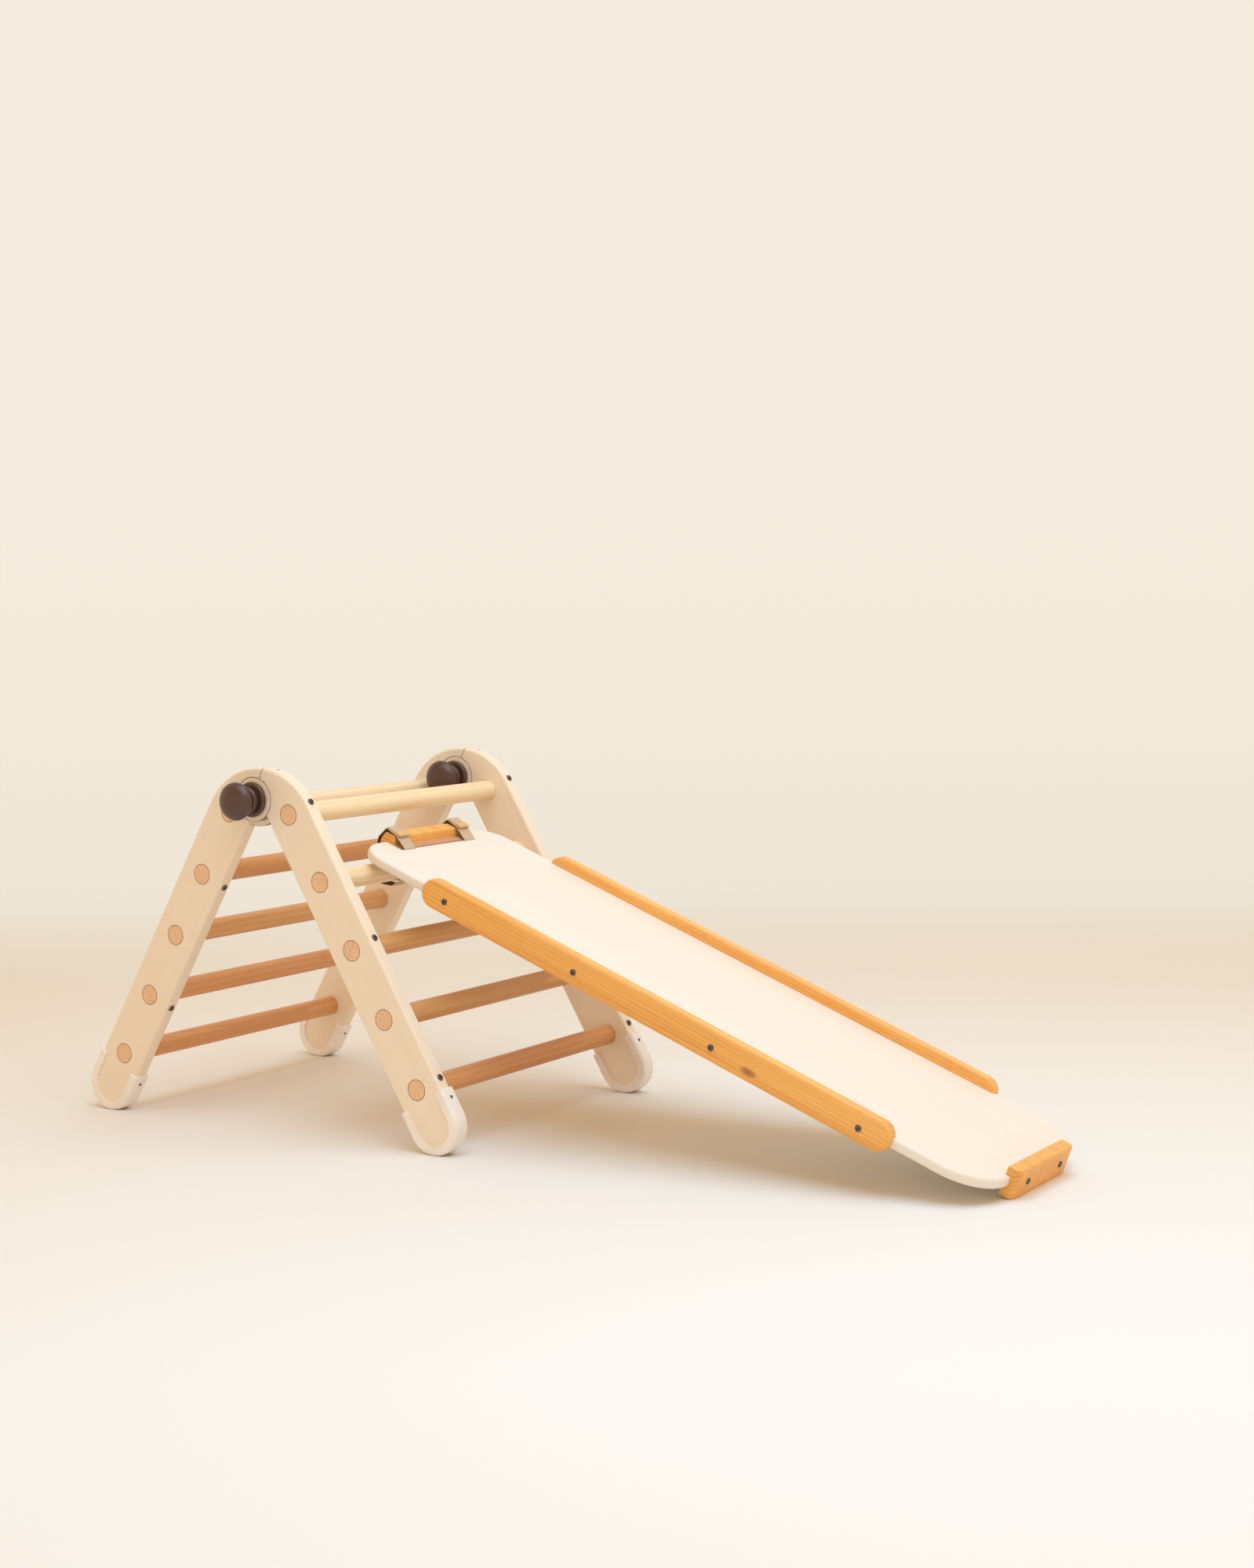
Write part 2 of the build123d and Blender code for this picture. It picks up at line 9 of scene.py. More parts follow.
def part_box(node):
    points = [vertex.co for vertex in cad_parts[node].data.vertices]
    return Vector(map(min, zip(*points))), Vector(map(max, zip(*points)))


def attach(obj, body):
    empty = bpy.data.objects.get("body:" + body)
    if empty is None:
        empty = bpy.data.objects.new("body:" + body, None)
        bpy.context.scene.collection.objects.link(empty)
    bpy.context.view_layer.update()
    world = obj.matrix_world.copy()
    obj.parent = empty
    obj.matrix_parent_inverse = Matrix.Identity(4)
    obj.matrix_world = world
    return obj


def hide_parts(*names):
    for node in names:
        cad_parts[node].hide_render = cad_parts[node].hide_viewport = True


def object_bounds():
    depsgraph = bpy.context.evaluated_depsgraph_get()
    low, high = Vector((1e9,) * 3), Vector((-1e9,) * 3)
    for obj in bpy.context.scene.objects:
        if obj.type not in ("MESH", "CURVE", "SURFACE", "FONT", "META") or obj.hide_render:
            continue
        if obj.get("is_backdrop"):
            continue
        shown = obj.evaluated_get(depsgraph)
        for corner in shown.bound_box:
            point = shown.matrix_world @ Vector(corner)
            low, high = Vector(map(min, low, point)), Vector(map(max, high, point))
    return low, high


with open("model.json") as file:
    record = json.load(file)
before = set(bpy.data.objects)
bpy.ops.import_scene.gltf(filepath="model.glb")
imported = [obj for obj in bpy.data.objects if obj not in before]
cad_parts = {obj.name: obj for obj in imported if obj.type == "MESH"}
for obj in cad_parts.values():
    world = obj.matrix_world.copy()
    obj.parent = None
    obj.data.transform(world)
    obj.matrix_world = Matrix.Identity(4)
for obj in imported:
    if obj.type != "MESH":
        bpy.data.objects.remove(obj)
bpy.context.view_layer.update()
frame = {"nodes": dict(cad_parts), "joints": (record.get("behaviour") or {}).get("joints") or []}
nodes = frame["nodes"]


# ---- camera ----
# A long lens at a standing child's height, off to the right of the slide and a little above it,
# so that the A of the climber, the hooked board and its whole length are all seen.
camera_place = Vector((2.0182, -3.0346, 0.8117))
camera_yaw = math.radians(32.42)
camera_pitch = math.radians(4.449)
camera_roll = math.radians(-0.60)
forward = Vector((-math.sin(camera_yaw) * math.cos(camera_pitch),
                  math.cos(camera_yaw) * math.cos(camera_pitch), -math.sin(camera_pitch)))
level_right = Vector((math.cos(camera_yaw), math.sin(camera_yaw), 0))
level_up = level_right.cross(forward)
camera_right = level_right * math.cos(camera_roll) + level_up * math.sin(camera_roll)
camera_up = camera_right.cross(forward)
lens = bpy.data.cameras.new("camera")
lens.sensor_fit = "HORIZONTAL"
lens.sensor_width = 36
lens.lens = 68.87
camera = bpy.data.objects.new("camera", lens)
turn = Matrix((camera_right, camera_up, -forward)).transposed()
camera.matrix_world = Matrix.Translation(camera_place) @ turn.to_4x4()
bpy.context.scene.collection.objects.link(camera)
bpy.context.scene.camera = camera
bpy.context.scene.view_settings.view_transform = "Standard"


# ---- studio ----
# A pale paper sweep: floor, a wide curve and a tall back, square to the camera. The paper is whiter towards
# the front and darker and warmer around and behind the climber, as painted light and painted shade. Its
# back is lit evenly on its own.
class Shader:
    """A material's node tree, with short ways to add a node and to join two sockets."""

    def __init__(self, name):
        self.material = bpy.data.materials.new(name)
        self.material.use_nodes = True
        self.tree = self.material.node_tree
        self.surface = self.tree.nodes["Principled BSDF"]

    def add(self, kind, **settings):
        node = self.tree.nodes.new("ShaderNode" + kind)
        for key, value in settings.items():
            if key in node.inputs:
                node.inputs[key].default_value = value
            else:
                setattr(node, key.lower(), value)
        return node

    def join(self, source, target):
        self.tree.links.new(source, target)

    def set(self, **values):
        for key, value in values.items():
            self.surface.inputs[key.replace("_", " ")].default_value = value

    def math(self, operation, first, second=None, third=None):
        node = self.tree.nodes.new("ShaderNodeMath")
        node.operation = operation
        for socket, value in zip(node.inputs, (first, second, third)):
            if isinstance(value, bpy.types.NodeSocket):
                self.join(value, socket)
            elif value is not None:
                socket.default_value = value
        return node.outputs[0]

    def ramp(self, source, stops, smooth=False):
        node = self.tree.nodes.new("ShaderNodeValToRGB")
        node.color_ramp.interpolation = "EASE" if smooth else "LINEAR"
        while len(node.color_ramp.elements) < len(stops):
            node.color_ramp.elements.new(0.5)
        for element, (place, colour) in zip(node.color_ramp.elements, stops):
            element.position = place
            element.color = (*colour, 1)
        self.join(source, node.inputs["Fac"])
        return node.outputs["Color"]

    def mix(self, share, first, second, kind="MIX"):
        node = self.tree.nodes.new("ShaderNodeMix")
        node.data_type = "RGBA"
        node.blend_type = kind
        for socket, value in zip((node.inputs[0], node.inputs[6], node.inputs[7]), (share, first, second)):
            if isinstance(value, bpy.types.NodeSocket):
                self.join(value, socket)
            elif isinstance(value, tuple):
                socket.default_value = (*value, 1)
            else:
                socket.default_value = value
        return node.outputs[2]

    def bump(self, height, strength, distance):
        node = self.tree.nodes.new("ShaderNodeBump")
        node.inputs["Strength"].default_value = strength
        node.inputs["Distance"].default_value = distance
        self.join(height, node.inputs["Height"])
        self.join(node.outputs["Normal"], self.surface.inputs["Normal"])

    def spread(self, scale, place=(0, 0, 0), turn=0.0):
        """Object coordinates, turned about the rungs' direction, then moved and stretched."""
        coordinates = self.tree.nodes.new("ShaderNodeTexCoord")
        turned = self.tree.nodes.new("ShaderNodeMapping")
        turned.inputs["Rotation"].default_value = (0, turn, 0)
        self.join(coordinates.outputs["Object"], turned.inputs["Vector"])
        stretched = self.tree.nodes.new("ShaderNodeMapping")
        stretched.vector_type = "POINT"
        stretched.inputs["Location"].default_value = [-p * s for p, s in zip(place, scale)]
        stretched.inputs["Scale"].default_value = scale
        self.join(turned.outputs["Vector"], stretched.inputs["Vector"])
        return stretched.outputs["Vector"]

    def noise(self, vector, scale, detail=2.0, roughness=0.5):
        node = self.tree.nodes.new("ShaderNodeTexNoise")
        node.inputs["Scale"].default_value = scale
        node.inputs["Detail"].default_value = detail
        node.inputs["Roughness"].default_value = roughness
        self.join(vector, node.inputs["Vector"])
        return node.outputs["Fac"]

    def split(self, vector):
        node = self.tree.nodes.new("ShaderNodeSeparateXYZ")
        self.join(vector, node.inputs[0])
        return node.outputs


def linked(name, mesh):
    piece = bpy.data.objects.new(name, mesh)
    bpy.context.scene.collection.objects.link(piece)
    return piece


def sweep_paper():
    """A floor that runs 4.2 m in front and curves up into the back 6 m behind the climber."""
    near, far, bend, height, half = -4.2, 6.0, 2.2, 7.0, 9.0
    profile = [(near, 0.0), (far - bend, 0.0)]
    for step in range(1, 17):
        angle = math.pi / 2 * step / 16
        profile.append((far - bend + bend * math.sin(angle), bend - bend * math.cos(angle)))
    profile.append((far, height))
    depth = Vector((-math.sin(camera_yaw), math.cos(camera_yaw), 0))
    points = []
    for along, up in profile:
        for side in (-half, half):
            points.append(depth * along + level_right * side + Vector((0, 0, up)))
    faces = [(2 * i, 2 * i + 1, 2 * i + 3, 2 * i + 2) for i in range(len(profile) - 1)]
    mesh = bpy.data.meshes.new("paper_sweep")
    mesh.from_pydata(points, [], faces)
    for polygon in mesh.polygons:
        polygon.use_smooth = True
    return linked("paper_sweep", mesh)


def paper():
    shader = Shader("studio_paper")
    shader.set(Roughness=0.9, Specular_IOR_Level=0.1)
    turned = shader.tree.nodes.new("ShaderNodeMapping")
    coordinates = shader.tree.nodes.new("ShaderNodeTexCoord")
    turned.inputs["Rotation"].default_value = (0, 0, -camera_yaw)
    shader.join(coordinates.outputs["Object"], turned.inputs["Vector"])
    depth = shader.split(turned.outputs["Vector"])[1]
    front_to_back = shader.math("MULTIPLY_ADD", depth, 1 / 10, 0.42)
    # Painted light and shade: the floor's colour is whiter in front and darker and warmer from just in
    # front of the climber backwards.
    tone = shader.ramp(front_to_back, [
        (0.0, (0.88, 0.885, 0.88)), (0.30, (0.875, 0.875, 0.865)), (0.40, (0.845, 0.825, 0.785)),
        (0.60, (0.83, 0.795, 0.735)), (1.0, (0.86, 0.80, 0.70)),
    ])
    shader.join(tone, shader.surface.inputs["Base Color"])
    glow_colour = shader.ramp(front_to_back, [
        (0.0, (0.86, 0.79, 0.67)), (0.60, (0.845, 0.775, 0.655)), (0.85, (0.865, 0.795, 0.68)),
        (1.0, (0.905, 0.835, 0.73)),
    ])
    glow = shader.add("Emission")
    shader.join(glow_colour, glow.inputs["Color"])
    share = shader.ramp(front_to_back, [(0.50, (0, 0, 0)), (0.72, (1, 1, 1))], smooth=True)
    both = shader.add("MixShader")
    shader.join(share, both.inputs[0])
    shader.join(shader.surface.outputs[0], both.inputs[1])
    shader.join(glow.outputs[0], both.inputs[2])
    shader.join(both.outputs[0], shader.tree.nodes["Material Output"].inputs["Surface"])
    return shader.material


floor = sweep_paper()
floor.data.materials.append(paper())
floor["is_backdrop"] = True


def soft_box(name, place, aim, width, height, power, colour):
    light = bpy.data.lights.new(name, "AREA")
    light.shape = "RECTANGLE"
    light.size = width
    light.size_y = height
    light.energy = power
    light.color = colour
    box = bpy.data.objects.new(name, light)
    box.location = place
    box.rotation_euler = (Vector(aim) - Vector(place)).to_track_quat("-Z", "Y").to_euler()
    bpy.context.scene.collection.objects.link(box)


soft_box("key_light", (1.0, -0.45, 3.1), (0.6, -0.35, 0), 3.2, 3.2, 97, (0.42, 0.71, 1.0))


def room_light():
    """Warm light thrown down by the room, paler near the horizon."""
    world = bpy.data.worlds.new("room_light")
    bpy.context.scene.world = world
    world.use_nodes = True
    sky = world.node_tree
    direction = sky.nodes.new("ShaderNodeTexCoord")
    height = sky.nodes.new("ShaderNodeSeparateXYZ")
    tones = sky.nodes.new("ShaderNodeValToRGB")
    stops = ((0.24, (1.0, 0.88, 0.72, 1)), (0.46, (1.0, 0.63, 0.26, 1)))
    for element, (place, colour) in zip(tones.color_ramp.elements, stops):
        element.position = place
        element.color = colour
    sky.links.new(direction.outputs["Generated"], height.inputs[0])
    sky.links.new(height.outputs["Z"], tones.inputs[0])
    sky.links.new(tones.outputs[0], sky.nodes["Background"].inputs["Color"])
    sky.nodes["Background"].inputs["Strength"].default_value = 0.82


room_light()


# ---- stiles ----
# Birch ply, rounded over and sprayed with a satin cream paint. The paint is thin, so the grain
# shows faintly as long streaks, and it has the fine orange-peel skin of a sprayed coat.
LEAN = math.radians(30.5)


def finish_node(name, material):
    """Gives a CAD piece its finish."""
    nodes[name].data.materials.clear()
    nodes[name].data.materials.append(material)


def cream_paint(name, colour, grain_turn, seed, seam_shade=None):
    shader = Shader(name)
    shader.set(Roughness=0.42, Specular_IOR_Level=0.42, Coat_Weight=0.12, Coat_Roughness=0.3)
    along = shader.spread((70, 26, 2.2), (seed, seed, 0), grain_turn)
    streaks = shader.noise(along, 1.0, 4, 0.6)
    broad = shader.noise(shader.spread((5, 5, 5), (seed, 0, 0)), 1.0, 2)
    tint = shader.ramp(streaks, [
        (0.3, tuple(c * k for c, k in zip(colour, (0.99, 0.982, 0.968)))), (0.62, colour)])
    tone_and_seam_shade = shader.mix(shader.math("MULTIPLY", broad, 0.07), tint, (1.0, 0.92, 0.82), "MULTIPLY")
    # Painted shade: a dark brown line where the lapped heads meet.
    if seam_shade:
        tone_and_seam_shade = shader.mix(seam_shade(shader), tone_and_seam_shade, (0.20, 0.11, 0.06))
    shader.join(tone_and_seam_shade, shader.surface.inputs["Base Color"])
    skin = shader.noise(shader.spread((420, 420, 420)), 1.0, 2)
    height = shader.math("MULTIPLY_ADD", streaks, 0.5, skin)
    shader.bump(height, 0.10, 0.0006)
    return shader.material


# The lapped heads: the right tongue is a disc on the front half of the board, the left one a
# larger disc on the back half, and a dark line of painted shade is drawn round each, standing in for the
# shadow in the joint's gap.
pivot = Vector(frame["joints"][0]["pos_m"])
FRONT_TONGUE, BACK_TONGUE = 0.034, 0.042
FRONT_SEAM, BACK_SEAM = math.radians(68), math.radians(50)
SEAM_WIDTH = 0.0007


def shaded_seams(middle):
    """Says where a stile's face meets the other ladder's tongue, or where the heads butt: the lines that
    are painted dark as shade.
    """
    def seam_shade(shader):
        coordinates = shader.tree.nodes.new("ShaderNodeTexCoord")
        place = shader.split(coordinates.outputs["Object"])
        x = shader.math("SUBTRACT", place[0], pivot.x)
        z = shader.math("SUBTRACT", place[2], pivot.z)
        squares = shader.math("ADD", shader.math("MULTIPLY", x, x), shader.math("MULTIPLY", z, z))
        radius = shader.math("SQRT", squares)
        front = shader.math("LESS_THAN", place[1], middle)
        found = None
        for tongue, angle, half in ((FRONT_TONGUE, FRONT_SEAM, front),
                                    (BACK_TONGUE, BACK_SEAM, shader.math("SUBTRACT", 1.0, front))):
            beside = shader.math("ABSOLUTE", shader.math("SUBTRACT", radius, tongue))
            ring = shader.math("LESS_THAN", beside, SEAM_WIDTH)
            off = shader.math("SUBTRACT", shader.math("MULTIPLY", x, math.sin(angle)),
                              shader.math("MULTIPLY", z, math.cos(angle)))
            butt = shader.math("LESS_THAN", shader.math("ABSOLUTE", off), SEAM_WIDTH)
            butt = shader.math("MULTIPLY", butt, shader.math("GREATER_THAN", radius, tongue))
            butt = shader.math("MULTIPLY", butt, shader.math("GREATER_THAN", z, 0.0))
            both = shader.math("MULTIPLY", shader.math("MAXIMUM", ring, butt), half)
            found = both if found is None else shader.math("MAXIMUM", found, both)
        return shader.math("MULTIPLY", found, 0.85)
    return seam_shade


CREAM = (0.915, 0.775, 0.61)
for side, turn in (("left", -LEAN), ("right", LEAN)):
    for number, place in enumerate(("near", "far")):
        low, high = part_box(f"{side}_stile_{place}")
        seam_shade = shaded_seams((low.y + high.y) / 2)
        material = cream_paint(f"cream_paint_{side}_{place}", CREAM, turn, 3.1 + number, seam_shade)
        finish_node(f"{side}_stile_{place}", material)


# ---- rungs ----
# Turned hardwood dowels, sanded and lacquered clear, pushed right through the stiles and cut off
# flush, so that each end shows as a disc of end grain with a thin dark line round it.
RUNG_RADIUS = 0.016
RUNG_END = 0.2696
GLUE_RING = 0.0012


def dowel_wood(name, axis, pale, deep, seed):
    shader = Shader(name)
    shader.set(Roughness=0.45, Specular_IOR_Level=0.4, Coat_Weight=0.18, Coat_Roughness=0.25)
    x, z = axis
    pith = (x + 0.011 * math.cos(seed * 2.4), seed * 0.37, z + 0.011 * math.sin(seed * 2.4))
    rings = shader.tree.nodes.new("ShaderNodeTexWave")
    rings.wave_type = "RINGS"
    rings.rings_direction = "Y"
    rings.wave_profile = "SAW"
    for key, value in (("Scale", 46), ("Distortion", 3.4), ("Detail", 2.0), ("Detail Scale", 0.45)):
        rings.inputs[key].default_value = value
    shader.join(shader.spread((1, 0.16, 1), pith), rings.inputs["Vector"])
    fibres = shader.noise(shader.spread((520, 9, 520), pith), 1.0, 3, 0.6)
    drift = shader.noise(shader.spread((40, 2.4, 40), pith), 1.0, 2)
    figure = shader.math("MULTIPLY_ADD", rings.outputs["Fac"], 0.36, shader.math("MULTIPLY", fibres, 0.38))
    figure = shader.math("MULTIPLY_ADD", drift, 0.58, figure)
    wood = shader.ramp(figure, [(0.34, pale), (0.66, tuple((p + d) / 2 for p, d in zip(pale, deep))),
                                (0.92, deep)])
    pores = shader.ramp(shader.noise(shader.spread((1500, 42, 1500), pith), 1.0, 1),
                        [(0.66, (0, 0, 0)), (0.74, (1, 1, 1))])
    wood = shader.mix(shader.math("MULTIPLY", pores, 0.30), wood, tuple(c * 0.55 for c in deep))
    # The cut ends are a little pinker, with the same growth rings, and dark where glue met paint.
    coordinates = shader.tree.nodes.new("ShaderNodeTexCoord")
    place = shader.split(coordinates.outputs["Object"])
    cut = shader.math("GREATER_THAN", shader.math("ABSOLUTE", place[1]), RUNG_END)
    growth = shader.math("MULTIPLY_ADD", rings.outputs["Fac"], 0.38, shader.math("MULTIPLY", drift, 0.5))
    end = shader.ramp(growth,
                      [(0.25, (0.88, 0.58, 0.35)), (0.55, (0.82, 0.50, 0.28)), (0.8, (0.70, 0.38, 0.19))])
    across = shader.math("SUBTRACT", place[0], x)
    upward = shader.math("SUBTRACT", place[2], z)
    radius = shader.math("SQRT", shader.math("ADD", shader.math("MULTIPLY", across, across),
                                             shader.math("MULTIPLY", upward, upward)))
    rim = shader.math("GREATER_THAN", radius, RUNG_RADIUS - GLUE_RING)
    end = shader.mix(shader.math("MULTIPLY", rim, 0.85), end, (0.30, 0.15, 0.08))
    shader.join(shader.mix(cut, wood, end), shader.surface.inputs["Base Color"])
    shader.bump(shader.math("ADD", fibres, shader.math("MULTIPLY", pores, -0.6)), 0.16, 0.0004)
    return shader.material


def axis_of(node):
    low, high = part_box(node)
    return (low.x + high.x) / 2, (low.z + high.z) / 2


PALE_RUNG = (0.99, 0.80, 0.50)
WARM_RUNG = (0.80, 0.44, 0.17)
ROSY_RUNG = (0.80, 0.38, 0.15)
DEEP_RUNG = (0.52, 0.22, 0.07)
rung_tones = {
    "right": (PALE_RUNG, PALE_RUNG, WARM_RUNG, WARM_RUNG, ROSY_RUNG),
    "left": (PALE_RUNG, ROSY_RUNG, WARM_RUNG, ROSY_RUNG, ROSY_RUNG),
}
for side, tones in rung_tones.items():
    for number, pale in enumerate(tones, start=1):
        node = f"{side}_rung_{number}"
        seed = number + (7 if side == "left" else 0)
        share = 0.28 if pale is PALE_RUNG else 0.55
        deep = tuple((1 - share) * p + share * d for p, d in zip(pale, DEEP_RUNG))
        finish_node(node, dowel_wood(f"dowel_{side}_{number}", axis_of(node), pale, deep, seed))


# ---- foot caps ----
# Pinkish-white shoes moulded in a soft matt plastic, slipped over the rounded feet and screwed on.
def soft_plastic():
    shader = Shader("cap_plastic")
    shader.set(Roughness=0.38, Specular_IOR_Level=0.5, Subsurface_Weight=0.06, Subsurface_Scale=0.004)
    cloud = shader.noise(shader.spread((30, 30, 30)), 1.0, 2)
    tone = shader.ramp(cloud, [(0.3, (0.91, 0.82, 0.75)), (0.7, (0.96, 0.88, 0.82))])
    # Painted shade: the lowest few millimetres darken towards brown, with a ragged edge, where the cap
    # meets the floor.
    low = shader.split(shader.spread((1, 1, 1)))[2]
    contact_shade = shader.math("LESS_THAN", shader.math("MULTIPLY_ADD", cloud, 0.004, low), 0.0045)
    shader.join(shader.mix(shader.math("MULTIPLY", contact_shade, 0.35), tone, (0.52, 0.42, 0.34)),
                shader.surface.inputs["Base Color"])
    shader.bump(shader.noise(shader.spread((900, 900, 900)), 1.0, 2), 0.12, 0.0004)
    return shader.material


cap_plastic = soft_plastic()
for side in ("left", "right"):
    for place in ("near", "far"):
        finish_node(f"{side}_foot_cap_{place}", cap_plastic)


# ---- screws, rods and sleeves ----
# Button-head screws blackened and waxed, with bright metal where a key has rubbed the socket;
# plated steel rods and turned brass sleeves hide inside the knobs.
def metal(name, colour, roughness, metallic, rubbed):
    shader = Shader(name)
    shader.set(Metallic=metallic)
    wear = shader.noise(shader.spread((700, 700, 700)), 1.0, 3, 0.6)
    tone = shader.ramp(wear, [(0.45, colour), (0.78, rubbed)])
    shader.join(tone, shader.surface.inputs["Base Color"])
    dulled = shader.math("MULTIPLY_ADD", wear, 0.22, roughness - 0.1)
    shader.join(dulled, shader.surface.inputs["Roughness"])
    shader.bump(wear, 0.08, 0.0003)
    return shader.material


black_screw = metal("black_screw", (0.07, 0.066, 0.066), 0.34, 0.6, (0.26, 0.25, 0.24))
for name in ("left_rung_screws", "right_rung_screws", "left_foot_screws", "right_foot_screws",
             "rail_screws", "end_stop_screws", "hook_screws"):
    finish_node(name, black_screw)
plated = metal("plated_rod", (0.55, 0.55, 0.57), 0.35, 1.0, (0.75, 0.75, 0.77))
brass = metal("brass_sleeve", (0.72, 0.52, 0.22), 0.35, 1.0, (0.85, 0.66, 0.34))
for place in ("near", "far"):
    finish_node(f"pivot_rod_{place}", plated)
    for face in ("outer", "inner"):
        finish_node(f"knob_insert_{place}_{face}", brass)


# ---- ball knobs ----
# Dark brown ball knobs moulded in two halves, with a fine witness line where the halves of the
# mould met; one screws on to each end of each rod and clamps the lapped heads.
def knob_plastic():
    shader = Shader("knob_plastic")
    shader.set(Roughness=0.33, Specular_IOR_Level=0.5, Coat_Weight=0.10, Coat_Roughness=0.2)
    cloud = shader.noise(shader.spread((60, 60, 60)), 1.0, 3)
    tone = shader.ramp(cloud, [(0.3, (0.075, 0.034, 0.024)), (0.7, (0.10, 0.048, 0.034))])
    scratch = shader.ramp(shader.noise(shader.spread((900, 60, 340)), 1.0, 2),
                          [(0.70, (0, 0, 0)), (0.76, (1, 1, 1))])
    shader.join(shader.mix(shader.math("MULTIPLY", scratch, 0.25), tone, (0.20, 0.12, 0.09)),
                shader.surface.inputs["Base Color"])
    shader.bump(shader.noise(shader.spread((500, 500, 500)), 1.0, 2), 0.05, 0.0003)
    return shader.material


def witness_line(name, centre, radius):
    """A fine ridge round the ball where the mould halves met, with a faint flash."""
    mesh = bpy.data.meshes.new(name)
    shape = bmesh.new()
    around, section = 96, 6
    rings = []
    for step in range(around):
        angle = 2 * math.pi * step / around
        out = Vector((math.cos(angle), 0, math.sin(angle)))
        flash = radius + 0.00004 * math.sin(angle * 7)
        ring = []
        for corner in range(section):
            turn_angle = 2 * math.pi * corner / section
            offset = out * math.cos(turn_angle) * 0.00028 + Vector((0, math.sin(turn_angle) * 0.00042, 0))
            ring.append(shape.verts.new(Vector(centre) + out * flash + offset))
        rings.append(ring)
    for step in range(around):
        here, after = rings[step], rings[(step + 1) % around]
        for corner in range(section):
            beside = (corner + 1) % section
            shape.faces.new((here[corner], here[beside], after[beside], after[corner]))
    bmesh.ops.recalc_face_normals(shape, faces=shape.faces)
    shape.to_mesh(mesh)
    shape.free()
    for polygon in mesh.polygons:
        polygon.use_smooth = True
    return linked(name, mesh)


brown = knob_plastic()
BALL_RADIUS = 0.029
BALL_HALF_DEPTH = 0.017
for place in ("near", "far"):
    for face in ("outer", "inner"):
        node = f"knob_{place}_{face}"
        finish_node(node, brown)
        low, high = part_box(node)
        out = -1 if (place == "near") == (face == "outer") else 1
        middle = (high.y - BALL_HALF_DEPTH) if out > 0 else (low.y + BALL_HALF_DEPTH)
        centre = ((low.x + high.x) / 2, middle, (low.z + high.z) / 2)
        line = witness_line(f"mould_line_{place}_{face}", centre, BALL_RADIUS)
        line.data.materials.append(brown)
        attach(line, f"{place}_{face}_knob")


# ---- slide board ----
# The same cream-painted ply as the stiles, a little lighter because it faces the light, and
# polished by use. Lengths on it run down the board from the hooked rung, heights square to it.
SLOPE = math.radians(21.1713)
BOARD_TOP = 0.0395
hook_axis = Vector(frame["joints"][1]["pos_m"])
down_board = Vector((math.cos(SLOPE), 0, -math.sin(SLOPE)))
off_board = Vector((math.sin(SLOPE), 0, math.cos(SLOPE)))


def on_board(along, height, y):
    return hook_axis + down_board * along + off_board * height + Vector((0, y, 0))


finish_node("slide_deck", cream_paint("cream_paint_board", (0.89, 0.82, 0.725), math.pi / 2 - SLOPE, 9.4))


